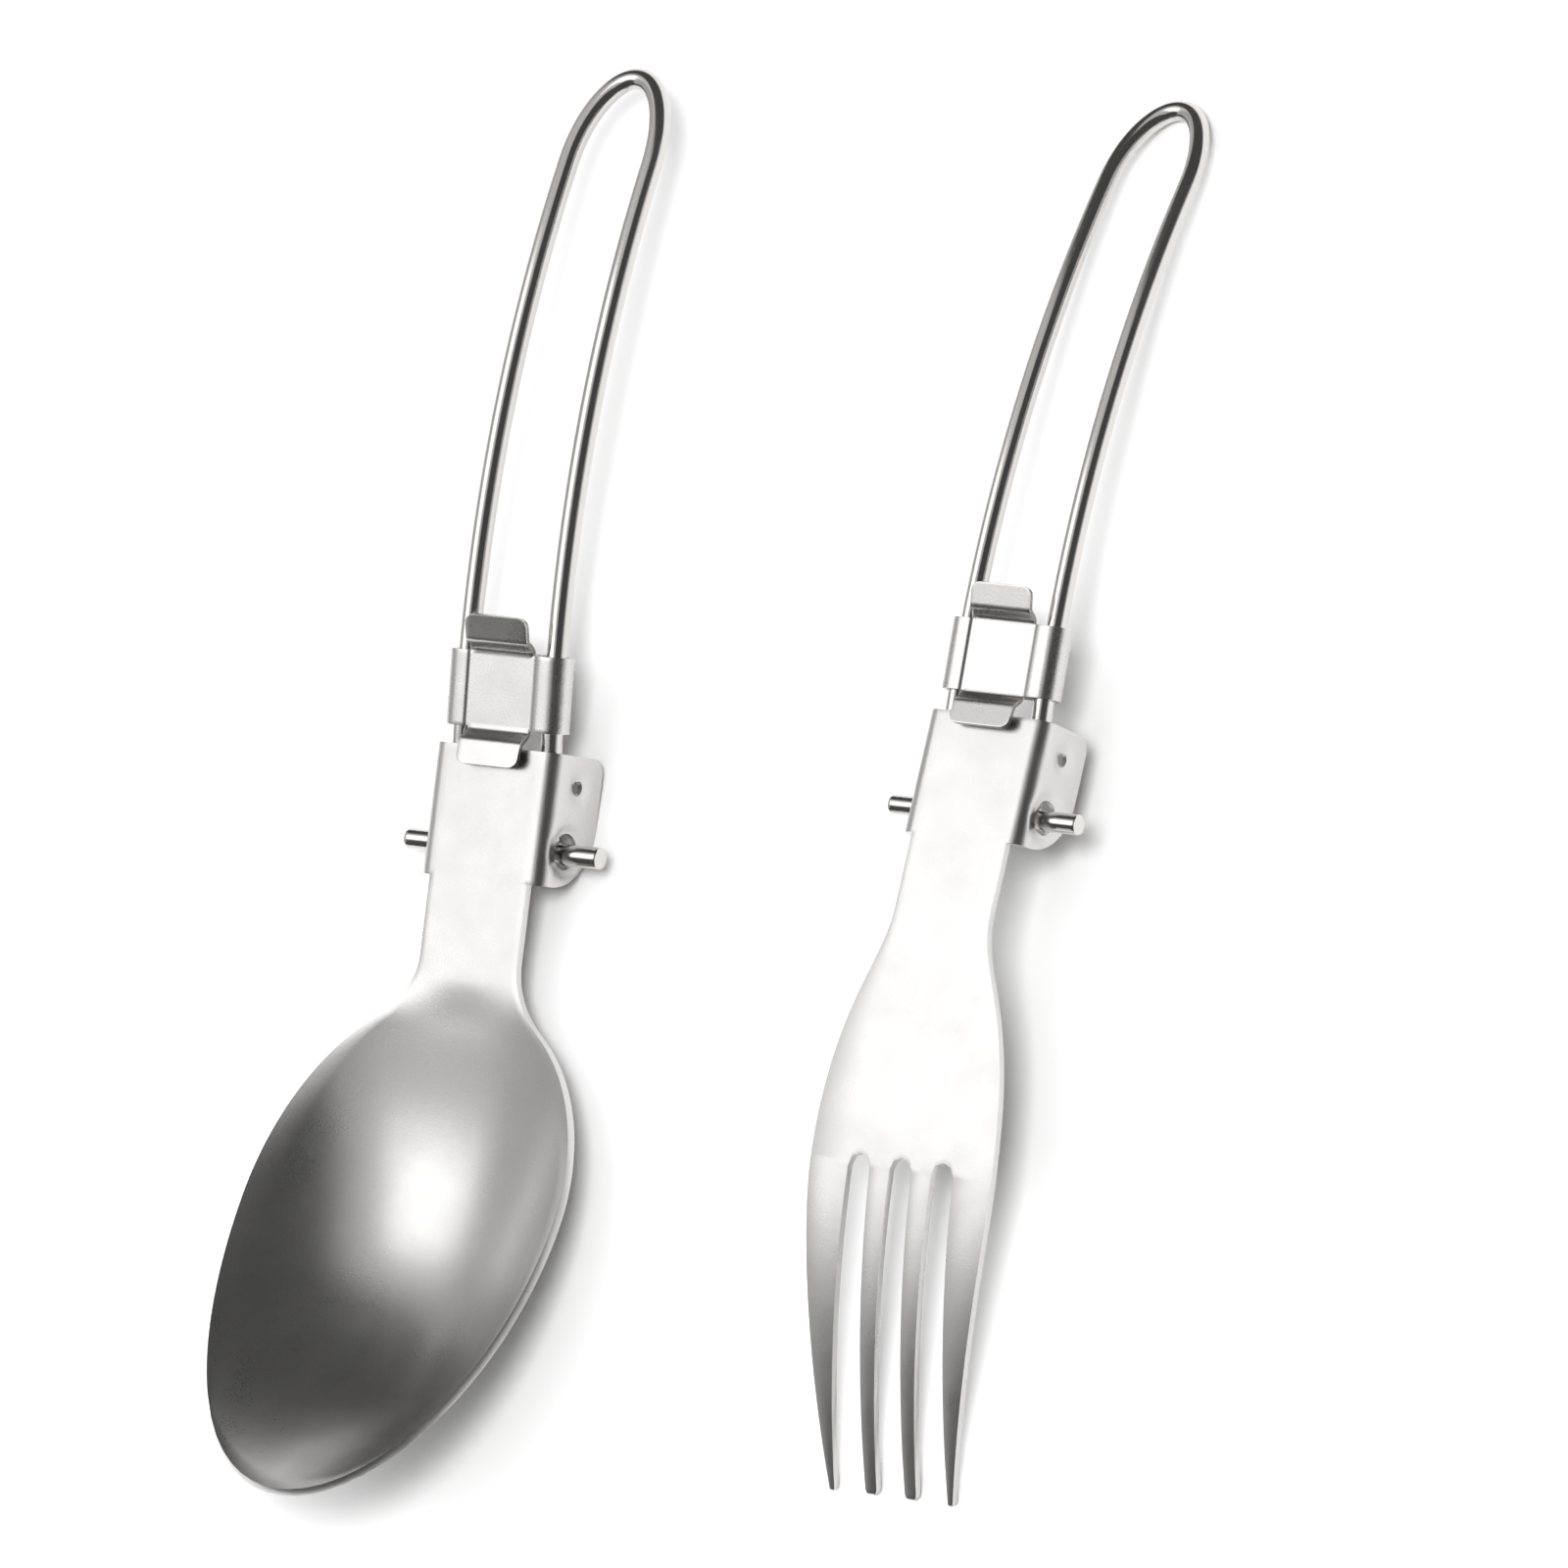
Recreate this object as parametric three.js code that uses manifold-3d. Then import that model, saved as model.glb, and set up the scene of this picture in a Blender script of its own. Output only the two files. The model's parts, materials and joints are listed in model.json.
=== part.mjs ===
// Folding picnic cutlery: a spoon and a fork, each with a bent wire handle, a stamped head that folds on
// the handle's two pins, and a sliding lock sleeve. Millimetres, +Z up.
//
// Each utensil is built in its own frame first: the pivot axis runs along X through the origin, +Y points
// along the handle and +Z is the front. Both are then laid on the surface z = 0, front side up.

import * as THREE from 'three';
import { mergeVertices } from 'three/addons/utils/BufferGeometryUtils.js';
import Module from 'manifold-3d';

const wasm = await Module();
wasm.setup();

// ---------------------------------------------------------------- driving dimensions

// Wire handle
const WIRE_DIAMETER = 2.2;
const ARCH_RADIUS = 140; // the whole handle is bent to this radius, hollow side to the back
const ARCH_CREST = 28.5; // distance along the handle from the pivot to the highest point of the arch
const LEG_SPREAD = 5.68; // half the distance between the legs, at the pivot
const LEG_SPREAD_TOP = 5.2; // the same, where the end loop begins
const LOOP_START = 70.9; // distance along the handle at which the end loop begins
const LOOP_LENGTH = 9.7; // the loop is half an ellipse of this half length
const PIN_REACH = 12.2; // from the middle plane to the end of each pin
const PIN_BEND = 1.8; // bend radius between leg and pin, on the wire's centre line

// Hinge plate and its two ears
const SHEET = 0.85;
const PLATE_WIDTH = 15.8;
const PLATE_TOP = 10; // upper edge of the plate, above the pivot axis
const PLATE_FRONT = 3.85; // front face of the plate, in front of the pivot axis
const PLATE_BEND = 1.75; // outer bend radius between plate and ear
const EAR_BACK = -4.3;
const EAR_LOW = -3.45;
const EAR_TOP_CORNER = 1.8;
const EAR_LOW_CORNER = 6.5;
const PIVOT_HOLE = { diameter: 3.7, y: 0.3, z: 0 };
const SMALL_HOLE = { diameter: 1.6, y: 6.8, z: -0.7 };
const NECK_HALF = PLATE_WIDTH / 2 - PLATE_BEND; // the neck is as wide as the flat of the plate

// Spoon bowl
const BOWL_HALF = 19.5; // half the widest width of the bowl
const BOWL_WIDEST = -37.5;
const BOWL_TIP = -66.6;
const BOWL_SHOULDER = 22.4; // half length of the bowl's outline from its widest line to the neck
const THROAT_START = -11.5;
const THROAT_END = -18.5;
const RIM_BEND = -15.5; // the rim turns up here
const RIM_BEND_LENGTH = 3;
const RIM_SLOPE = 0.235;
const RIM_CURVE = 0.0034;
const BOWL_DEPTH = 9.4;
const BOWL_START = -13.5; // the bowl begins to sink here
const BOWL_RUN_IN = 1.5; // larger is a gentler run from the neck into the bowl
const BOWL_RUN_OUT = 1.0;
const BOWL_SECTION = 2.2; // power of the bowl's cross section

// Fork head
const FORK_SIZE = 0.94; // the fork's hinge, handle and lock are the spoon's at this size
const FORK_WAIST = -11.5;
const FORK_SHOULDER = { half: 11.8, y: -39.5 };
const FORK_BEND = -14; // the head leans to the back from here
const FORK_BEND_LENGTH = 3;
const FORK_SLOPE = 0.105;
const FORK_ARCH_START = -33;
const FORK_ARCH_RADIUS = 100; // bent to the back
const SLOT_Y = -39.1; // centre of the round end of each slot
const SLOT_HALF = 1.42;
const SLOT_SPACING = 5.42;
const TINE_TIP = -72;
const OUTER_TINE_TIP = { inner: 7.4, outer: 8 };
const INNER_TINE_TIP = { inner: 1.85, outer: 3.3 };

// Lock sleeve
const LOCK_GAP = 0.2; // play between the sleeve and the wire
const LOCK_SHEET = 0.5;
const LOCK_LENGTH = 7.7;
const LOCK_SEAM = 0.8; // open seam down the middle of the back
const PANEL_HALF = 4.35; // the middle of the front is pressed in between the wires
const PANEL_DEPTH = 0.2;
const TONGUE_HALF = 3.85;
const TONGUE_LENGTH = 3.7;
const TONGUE_RISE = 1.2;
const TONGUE_RISE_LENGTH = 1.3;
const TONGUE_FLARE = 0.2; // slope of the tongue beyond its rise
const TONGUE_CORNER = 1;
const TONGUE_FILLET = 0.4;
const SPOON_LOCK_AT = 16; // distance along the handle from the pivot to the middle of the sleeve
const FORK_LOCK_AT = 16.5;

// How the two lie on the surface
const SPOON_PITCH = 8.08; // degrees about X: the spoon rests on its ears and the bottom of its bowl
const SPOON_LIFT = 3.9; // height of the pivot axis
const FORK_PITCH = -1.19; // the fork rests on its tine tips and the end of its handle
const FORK_LIFT = 8.87;
const FORK_TURN = -0.3; // degrees about Z
const FORK_OFFSET = { x: 61.5, y: 7.8 }; // from the spoon's pivot to the fork's

// ---------------------------------------------------------------- materials

const steel = {
  wire: new THREE.MeshStandardMaterial({ color: 0xc9c7c4, metalness: 1, roughness: 0.16 }),
  head: new THREE.MeshStandardMaterial({ color: 0xc6c3be, metalness: 1, roughness: 0.38 }),
  lock: new THREE.MeshStandardMaterial({ color: 0xbfbcb8, metalness: 1, roughness: 0.34 }),
};

// ---------------------------------------------------------------- solids

function solidOf(geometry) {
  const plain = geometry.clone();
  plain.deleteAttribute('normal');
  plain.deleteAttribute('uv');
  const merged = mergeVertices(plain, 1e-4);
  const mesh = new wasm.Mesh({
    numProp: 3,
    vertProperties: new Float32Array(merged.attributes.position.array),
    triVerts: new Uint32Array(merged.index.array),
  });
  return new wasm.Manifold(mesh);
}

function geometryOf(solid) {
  const mesh = solid.getMesh();
  const geometry = new THREE.BufferGeometry();
  geometry.setAttribute('position', new THREE.BufferAttribute(new Float32Array(mesh.vertProperties), 3));
  geometry.setIndex(new THREE.BufferAttribute(new Uint32Array(mesh.triVerts), 1));
  geometry.computeVertexNormals();
  return geometry;
}

// An outline drawn in the X-Z plane, extruded from y = top down by length.
function extrudeDown(shape, top, length, curveSegments) {
  const geometry = new THREE.ExtrudeGeometry(shape, { depth: length, bevelEnabled: false, curveSegments });
  return geometry.rotateX(Math.PI / 2).translate(0, top, 0);
}

// An outline drawn in the Y-Z plane, extruded across the whole width.
function extrudeAcross(shape, width, curveSegments) {
  const geometry = new THREE.ExtrudeGeometry(shape, { depth: width, bevelEnabled: false, curveSegments });
  const turn = new THREE.Matrix4().makeBasis(
    new THREE.Vector3(0, 1, 0),
    new THREE.Vector3(0, 0, 1),
    new THREE.Vector3(1, 0, 0),
  );
  return geometry.applyMatrix4(turn).translate(-width / 2, 0, 0);
}

// Closed sheet of even thickness behind a grid of front points. Rows run towards -Y, columns towards +X.
function sheetSolid(rows, thickness) {
  const rowCount = rows.length;
  const columnCount = rows[0].length;
  const size = rowCount * columnCount;
  const at = (i, j) => rows[THREE.MathUtils.clamp(i, 0, rowCount - 1)][THREE.MathUtils.clamp(j, 0, columnCount - 1)];
  const front = [];
  const back = [];
  for (let i = 0; i < rowCount; i++) {
    for (let j = 0; j < columnCount; j++) {
      const along = at(i + 1, j).clone().sub(at(i - 1, j));
      const across = at(i, j + 1).clone().sub(at(i, j - 1));
      const normal = along.cross(across).normalize();
      front.push(...at(i, j).toArray());
      back.push(...at(i, j).clone().addScaledVector(normal, -thickness).toArray());
    }
  }
  const index = [];
  const quad = (a, b, c, d) => index.push(a, b, c, a, c, d);
  for (let i = 0; i < rowCount - 1; i++) {
    for (let j = 0; j < columnCount - 1; j++) {
      const a = i * columnCount + j;
      const b = a + 1;
      const c = b + columnCount;
      const d = a + columnCount;
      quad(a, d, c, b);
      quad(size + a, size + b, size + c, size + d);
    }
  }
  for (let i = 0; i < rowCount - 1; i++) {
    const left = i * columnCount;
    const right = left + columnCount - 1;
    quad(left, left + size, left + columnCount + size, left + columnCount);
    quad(right, right + columnCount, right + columnCount + size, right + size);
  }
  for (let j = 0; j < columnCount - 1; j++) {
    const first = j;
    const last = (rowCount - 1) * columnCount + j;
    quad(first, first + 1, first + 1 + size, first + size);
    quad(last, last + size, last + 1 + size, last + 1);
  }
  const geometry = new THREE.BufferGeometry();
  geometry.setAttribute('position', new THREE.Float32BufferAttribute([...front, ...back], 3));
  geometry.setIndex(index);
  return solidOf(geometry);
}

// ---------------------------------------------------------------- handle

// Height and place of a point that lies a given distance along the arched handle.
function archPoint(x, along) {
  const crestAngle = ARCH_CREST / ARCH_RADIUS;
  const angle = along / ARCH_RADIUS - crestAngle;
  const y = ARCH_RADIUS * (Math.sin(angle) + Math.sin(crestAngle));
  const z = ARCH_RADIUS * (Math.cos(angle) - Math.cos(crestAngle));
  return new THREE.Vector3(x, y, z);
}

// A route through given points, which gives each of them back at its own step.
class Route extends THREE.Curve {
  constructor(points) {
    super();
    this.points = points;
  }

  getPoint(t, target = new THREE.Vector3()) {
    const last = this.points.length - 1;
    const place = THREE.MathUtils.clamp(t, 0, 1) * last;
    const i = Math.min(Math.floor(place), last - 1);
    return target.lerpVectors(this.points[i], this.points[i + 1], place - i);
  }

  getUtoTmapping(u) {
    return u;
  }
}

// Half of the wire's route, flat: from the end of one pin, round the bend and up the leg to the loop's top.
function handleRoute() {
  const bendSteps = 5;
  const legSteps = 22;
  const loopSteps = 9;
  const bendCentre = LEG_SPREAD + PIN_BEND;
  const half = [new THREE.Vector2(PIN_REACH, 0)];
  for (let i = 0; i <= bendSteps; i++) {
    const angle = (Math.PI / 2) * (i / bendSteps);
    half.push(new THREE.Vector2(bendCentre - PIN_BEND * Math.sin(angle), PIN_BEND * (1 - Math.cos(angle))));
  }
  for (let i = 1; i <= legSteps; i++) {
    const t = i / legSteps;
    half.push(new THREE.Vector2(
      THREE.MathUtils.lerp(LEG_SPREAD, LEG_SPREAD_TOP, t),
      THREE.MathUtils.lerp(PIN_BEND, LOOP_START, t),
    ));
  }
  for (let i = 1; i <= loopSteps; i++) {
    const angle = (Math.PI / 2) * (i / loopSteps);
    half.push(new THREE.Vector2(
      LEG_SPREAD_TOP * Math.cos(angle),
      LOOP_START + LOOP_LENGTH * Math.sin(angle),
    ));
  }
  const other = half.slice(0, -1).reverse().map((p) => new THREE.Vector2(-p.x, p.y));
  return new Route([...half, ...other].map((p) => archPoint(p.x, p.y)));
}

function handleGeometry() {
  const sides = 10;
  const section = new THREE.Shape(
    Array.from({ length: sides }, (_, i) => {
      const angle = (2 * Math.PI * i) / sides;
      return new THREE.Vector2(Math.cos(angle), Math.sin(angle)).multiplyScalar(WIRE_DIAMETER / 2);
    }),
  );
  const route = handleRoute();
  const steps = route.points.length - 1;
  return geometryOf(solidOf(new THREE.ExtrudeGeometry(section, { steps, extrudePath: route })));
}

// ---------------------------------------------------------------- hinge plate

// Section of the plate with both ears: a channel open to the back.
function channelShape() {
  const half = PLATE_WIDTH / 2;
  const bendHeight = PLATE_FRONT - PLATE_BEND;
  const low = EAR_BACK - 1;
  const shape = new THREE.Shape();
  shape.moveTo(half, low);
  shape.lineTo(half, bendHeight);
  shape.absarc(NECK_HALF, bendHeight, PLATE_BEND, 0, Math.PI / 2, false);
  shape.lineTo(-NECK_HALF, PLATE_FRONT);
  shape.absarc(-NECK_HALF, bendHeight, PLATE_BEND, Math.PI / 2, Math.PI, false);
  shape.lineTo(-half, low);
  shape.lineTo(-half + SHEET, low);
  shape.lineTo(-half + SHEET, bendHeight);
  shape.absarc(-NECK_HALF, bendHeight, PLATE_BEND - SHEET, Math.PI, Math.PI / 2, true);
  shape.lineTo(NECK_HALF, PLATE_FRONT - SHEET);
  shape.absarc(NECK_HALF, bendHeight, PLATE_BEND - SHEET, Math.PI / 2, 0, true);
  shape.lineTo(half - SHEET, low);
  return shape;
}

// Side view of an ear, carried up past the plate so that it only trims the ear.
function earShape() {
  const above = PLATE_FRONT + 1;
  const shape = new THREE.Shape();
  shape.moveTo(PLATE_TOP, above);
  shape.lineTo(EAR_LOW, above);
  shape.lineTo(EAR_LOW, EAR_BACK + EAR_LOW_CORNER);
  shape.absarc(EAR_LOW + EAR_LOW_CORNER, EAR_BACK + EAR_LOW_CORNER, EAR_LOW_CORNER, Math.PI, 1.5 * Math.PI, false);
  shape.lineTo(PLATE_TOP - EAR_TOP_CORNER, EAR_BACK);
  shape.absarc(PLATE_TOP - EAR_TOP_CORNER, EAR_BACK + EAR_TOP_CORNER, EAR_TOP_CORNER, -Math.PI / 2, 0, false);
  return shape;
}

function holeThroughEars({ diameter, y, z }) {
  const bore = new THREE.CylinderGeometry(diameter / 2, diameter / 2, PLATE_WIDTH + 4, 28);
  return solidOf(bore.rotateZ(Math.PI / 2).translate(0, y, z));
}

function hingePlate() {
  const length = PLATE_TOP - EAR_LOW + 2;
  const channel = solidOf(extrudeDown(channelShape(), PLATE_TOP + 1, length, 8));
  const trimmed = channel.intersect(solidOf(extrudeAcross(earShape(), PLATE_WIDTH + 4, 10)));
  return trimmed.subtract(holeThroughEars(PIVOT_HOLE)).subtract(holeThroughEars(SMALL_HOLE));
}

// Distance that y lies beyond a bend line towards the tip, rounded off over the length of the bend.
function runPast(bendLine, y, bendLength) {
  const beyond = bendLine - y;
  if (Math.abs(beyond) >= bendLength) return Math.max(beyond, 0);
  return (beyond + bendLength) ** 2 / (4 * bendLength);
}

// ---------------------------------------------------------------- spoon head

// Half outline of the spoon from the plate to the tip: x is the half width.
function spoonOutline() {
  const fromWidest = THROAT_END - BOWL_WIDEST;
  const throatHalf = BOWL_HALF * Math.sqrt(1 - (fromWidest / BOWL_SHOULDER) ** 2);
  const throatSlope = ((BOWL_HALF / BOWL_SHOULDER) ** 2 * fromWidest) / throatHalf;
  const cornerY = THROAT_END + (throatHalf - NECK_HALF) / throatSlope;
  const outline = new THREE.Path();
  outline.moveTo(NECK_HALF, EAR_LOW + 2);
  outline.lineTo(NECK_HALF, THROAT_START);
  outline.quadraticCurveTo(NECK_HALF, cornerY, throatHalf, THROAT_END);
  const throatAngle = Math.asin(fromWidest / BOWL_SHOULDER);
  outline.absellipse(0, BOWL_WIDEST, BOWL_HALF, BOWL_SHOULDER, throatAngle, 0, true);
  outline.absellipse(0, BOWL_WIDEST, BOWL_HALF, BOWL_WIDEST - BOWL_TIP, 0, -Math.PI / 2, true);
  return outline;
}

// Rise of the rim above the plate's front face.
function rimRise(y) {
  const run = runPast(RIM_BEND, y, RIM_BEND_LENGTH);
  return RIM_SLOPE * run + RIM_CURVE * run * run;
}

// Depth of the bowl below its rim along the middle.
function bowlDepth(y) {
  const s = THREE.MathUtils.clamp((BOWL_START - y) / (BOWL_START - BOWL_TIP), 0, 1);
  const deepest = BOWL_RUN_IN / (BOWL_RUN_IN + BOWL_RUN_OUT);
  const shape = (t) => t ** BOWL_RUN_IN * (1 - t) ** BOWL_RUN_OUT;
  return (BOWL_DEPTH * shape(s)) / shape(deepest);
}

function spoonPoint(x, y, half) {
  const inward = 1 - Math.abs(x / half) ** BOWL_SECTION;
  return new THREE.Vector3(x, y, PLATE_FRONT + rimRise(y) - bowlDepth(y) * inward);
}

function spoonBlade() {
  const stations = 44;
  const columns = 22;
  const rows = [];
  for (const { x: half, y } of spoonOutline().getSpacedPoints(stations)) {
    if (half < 1) break;
    const row = [];
    for (let j = 0; j <= columns; j++) {
      row.push(spoonPoint(half * (-1 + (2 * j) / columns), y, half));
    }
    rows.push(row);
  }
  return sheetSolid(rows, SHEET);
}

function spoonHeadGeometry() {
  return geometryOf(hingePlate().add(spoonBlade()));
}

// ---------------------------------------------------------------- fork head

function forkPoint(x, y) {
  const lean = FORK_SLOPE * runPast(FORK_BEND, y, FORK_BEND_LENGTH);
  const intoArch = Math.max(FORK_ARCH_START - y, 0);
  const arch = FORK_ARCH_RADIUS - Math.sqrt(FORK_ARCH_RADIUS ** 2 - intoArch ** 2);
  return new THREE.Vector3(x, y, PLATE_FRONT - lean - arch);
}

// Half outline of the fork: x is the half width.
function forkOutline() {
  const outline = new THREE.Path();
  outline.moveTo(NECK_HALF, EAR_LOW + 2);
  outline.lineTo(NECK_HALF, FORK_WAIST);
  outline.bezierCurveTo(
    NECK_HALF, FORK_WAIST - 6.5,
    FORK_SHOULDER.half, FORK_WAIST - 9.8,
    FORK_SHOULDER.half, FORK_SHOULDER.y,
  );
  outline.quadraticCurveTo(FORK_SHOULDER.half, FORK_SHOULDER.y - 7, OUTER_TINE_TIP.outer, TINE_TIP);
  return outline;
}

// Half width of the fork at a given y, read from its outline.
function halfWidthReader(outline) {
  const points = outline.getSpacedPoints(200);
  return (y) => {
    const next = points.findIndex((p) => p.y <= y);
    if (next <= 0) return points[0].x;
    const a = points[next - 1];
    const b = points[next];
    return THREE.MathUtils.mapLinear(y, a.y, b.y, a.x, b.x);
  };
}

// A strip of the fork between two edges, from one y to another, with a round end if it is a tine.
function forkStrip(top, bottom, inner, outer, steps, roundEnd) {
  const rows = [];
  for (let i = 0; i <= steps; i++) {
    const y = THREE.MathUtils.lerp(top, bottom, i / steps);
    rows.push([forkPoint(inner(y), y), forkPoint(outer(y), y)]);
  }
  if (roundEnd) {
    const radius = (outer(bottom) - inner(bottom)) / 2;
    const middle = (outer(bottom) + inner(bottom)) / 2;
    for (const angle of [30, 60, 82].map(THREE.MathUtils.degToRad)) {
      const half = radius * Math.cos(angle);
      const y = bottom - radius * Math.sin(angle);
      rows.push([forkPoint(middle - half, y), forkPoint(middle + half, y)]);
    }
  }
  return sheetSolid(rows, SHEET);
}

function forkBlade() {
  const widthAt = halfWidthReader(forkOutline());
  const edge = (start, end) => (y) => THREE.MathUtils.mapLinear(y, SLOT_Y, TINE_TIP, start, end);
  const mirrored = (f) => (y) => -f(y);
  const overlap = 0.7;
  const body = forkStrip(EAR_LOW + 2, SLOT_Y, mirrored(widthAt), widthAt, 26, false);
  const outer = [edge(SLOT_SPACING + SLOT_HALF, OUTER_TINE_TIP.inner), widthAt];
  const inner = [edge(SLOT_HALF, INNER_TINE_TIP.inner), edge(SLOT_SPACING - SLOT_HALF, INNER_TINE_TIP.outer)];
  let blade = body;
  for (const x of [-SLOT_SPACING, 0, SLOT_SPACING]) {
    const slotEnd = new THREE.CylinderGeometry(SLOT_HALF, SLOT_HALF, 12, 20);
    blade = blade.subtract(solidOf(slotEnd.rotateX(Math.PI / 2).translate(x, SLOT_Y, 0)));
  }
  for (const [near, far] of [outer, inner]) {
    const tip = TINE_TIP + (far(TINE_TIP) - near(TINE_TIP)) / 2;
    blade = blade.add(forkStrip(SLOT_Y + overlap, tip, near, far, 18, true));
    blade = blade.add(forkStrip(SLOT_Y + overlap, tip, mirrored(far), mirrored(near), 18, true));
  }
  return blade;
}

function forkHeadGeometry() {
  return geometryOf(hingePlate().add(forkBlade()));
}

// ---------------------------------------------------------------- lock sleeve

// Section of the sleeve around both wires, with the front panel pressed in and a seam at the back.
function sleeveShape(spread) {
  const inner = WIRE_DIAMETER / 2 + LOCK_GAP;
  const outer = inner + LOCK_SHEET;
  const seam = LOCK_SEAM / 2;
  const step = PANEL_HALF - PANEL_DEPTH;
  const shape = new THREE.Shape();
  shape.moveTo(seam, -outer);
  shape.lineTo(spread, -outer);
  shape.absarc(spread, 0, outer, -Math.PI / 2, Math.PI / 2, false);
  shape.lineTo(PANEL_HALF, outer);
  shape.lineTo(step, outer - PANEL_DEPTH);
  shape.lineTo(-step, outer - PANEL_DEPTH);
  shape.lineTo(-PANEL_HALF, outer);
  shape.lineTo(-spread, outer);
  shape.absarc(-spread, 0, outer, Math.PI / 2, 1.5 * Math.PI, false);
  shape.lineTo(-seam, -outer);
  shape.lineTo(-seam, -inner);
  shape.lineTo(-spread, -inner);
  shape.absarc(-spread, 0, inner, 1.5 * Math.PI, Math.PI / 2, true);
  shape.lineTo(-PANEL_HALF, inner);
  shape.lineTo(-step, inner - PANEL_DEPTH);
  shape.lineTo(step, inner - PANEL_DEPTH);
  shape.lineTo(PANEL_HALF, inner);
  shape.lineTo(spread, inner);
  shape.absarc(spread, 0, inner, Math.PI / 2, -Math.PI / 2, true);
  shape.lineTo(seam, -inner);
  return shape;
}

// A tongue that leaves the panel at y = 0 towards -Y, rises to the front and flares away from the wires.
function tongue() {
  const root = WIRE_DIAMETER / 2 + LOCK_GAP + LOCK_SHEET - PANEL_DEPTH;
  const steps = 26;
  const start = -0.6;
  const rows = [];
  for (let i = 0; i <= steps; i++) {
    const s = THREE.MathUtils.lerp(start, TONGUE_LENGTH, i / steps);
    const rise = TONGUE_RISE * THREE.MathUtils.smoothstep(s, 0, TONGUE_RISE_LENGTH);
    const flare = TONGUE_FLARE * Math.max(s - TONGUE_RISE_LENGTH / 2, 0);
    const fillet = TONGUE_FILLET * Math.max(1 - Math.max(s, 0) / TONGUE_FILLET, 0) ** 2;
    const intoCorner = Math.max(s - (TONGUE_LENGTH - TONGUE_CORNER), 0);
    const corner = TONGUE_CORNER - Math.sqrt(Math.max(TONGUE_CORNER ** 2 - intoCorner ** 2, 0));
    const half = TONGUE_HALF + fillet - corner;
    const z = root + rise + flare;
    rows.push([new THREE.Vector3(-half, -s, z), new THREE.Vector3(half, -s, z)]);
  }
  return sheetSolid(rows, LOCK_SHEET);
}

function lockGeometry(along) {
  const spread = THREE.MathUtils.mapLinear(along, PIN_BEND, LOOP_START, LEG_SPREAD, LEG_SPREAD_TOP);
  const sleeve = solidOf(extrudeDown(sleeveShape(spread), LOCK_LENGTH / 2, LOCK_LENGTH, 8));
  const lower = tongue().translate([0, -LOCK_LENGTH / 2, 0]);
  return geometryOf(sleeve.add(lower).add(lower.mirror([0, 1, 0])));
}

// ---------------------------------------------------------------- assembly

function utensil(name, headGeometry, lockAt) {
  const group = new THREE.Group();
  const add = (part, geometry, material) => {
    const mesh = new THREE.Mesh(geometry, material);
    mesh.name = `${name}_${part}`;
    group.add(mesh);
    return mesh;
  };
  add('handle', handleGeometry(), steel.wire);
  add('head', headGeometry, steel.head);
  const lock = add('lock', lockGeometry(lockAt), steel.lock);
  lock.position.copy(archPoint(0, lockAt));
  lock.rotation.x = (ARCH_CREST - lockAt) / ARCH_RADIUS;
  return group;
}

function lay(group, { x, y, lift, pitch, turn, size }) {
  const stand = new THREE.Group();
  group.rotation.x = THREE.MathUtils.degToRad(pitch);
  group.scale.setScalar(size);
  stand.rotation.z = THREE.MathUtils.degToRad(turn);
  stand.position.set(x, y, lift);
  stand.add(group);
  return stand;
}

const spoon = lay(utensil('spoon', spoonHeadGeometry(), SPOON_LOCK_AT), {
  x: 0, y: 0, lift: SPOON_LIFT, pitch: SPOON_PITCH, turn: 0, size: 1,
});
const fork = lay(utensil('fork', forkHeadGeometry(), FORK_LOCK_AT), {
  ...FORK_OFFSET, lift: FORK_LIFT, pitch: FORK_PITCH, turn: FORK_TURN, size: FORK_SIZE,
});

const cutlery = new THREE.Group();
cutlery.add(spoon, fork);

// The origin is the middle of the pair's footprint, on the surface.
cutlery.updateMatrixWorld(true);
const box = new THREE.Box3().setFromObject(cutlery, true);
const middle = box.getCenter(new THREE.Vector3());
cutlery.position.set(-middle.x, -middle.y, 0);

export default cutlery;
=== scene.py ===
"""Folding picnic spoon and fork: fine sheet-metal and wire meshes, steel materials and a pale studio."""

import json
import math

import bmesh
import bpy
from mathutils import Matrix, Vector, noise


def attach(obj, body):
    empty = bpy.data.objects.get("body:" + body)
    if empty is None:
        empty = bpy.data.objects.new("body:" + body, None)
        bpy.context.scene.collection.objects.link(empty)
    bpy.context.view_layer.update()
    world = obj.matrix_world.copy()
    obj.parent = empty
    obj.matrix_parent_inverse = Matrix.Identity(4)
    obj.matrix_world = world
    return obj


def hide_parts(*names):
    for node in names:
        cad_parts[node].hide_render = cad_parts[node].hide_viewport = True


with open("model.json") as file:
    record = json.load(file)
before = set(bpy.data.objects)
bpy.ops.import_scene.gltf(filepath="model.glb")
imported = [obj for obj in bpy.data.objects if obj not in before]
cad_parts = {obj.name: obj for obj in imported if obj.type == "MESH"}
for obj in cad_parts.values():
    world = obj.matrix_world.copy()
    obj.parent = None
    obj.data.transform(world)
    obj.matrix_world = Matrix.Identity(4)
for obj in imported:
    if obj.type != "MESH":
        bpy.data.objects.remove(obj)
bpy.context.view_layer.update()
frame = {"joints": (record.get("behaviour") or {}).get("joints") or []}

# ---------------------------------------------------------------- sizes, in millimetres

MM = 0.001
WIRE = 2.2
ARCH_RADIUS = 140.0
ARCH_CREST = 28.5
LEG_SPREAD = 5.68
LEG_SPREAD_TOP = 5.2
LOOP_START = 70.9
LOOP_LENGTH = 9.7
PIN_REACH = 12.2
PIN_BEND = 1.8

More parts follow.
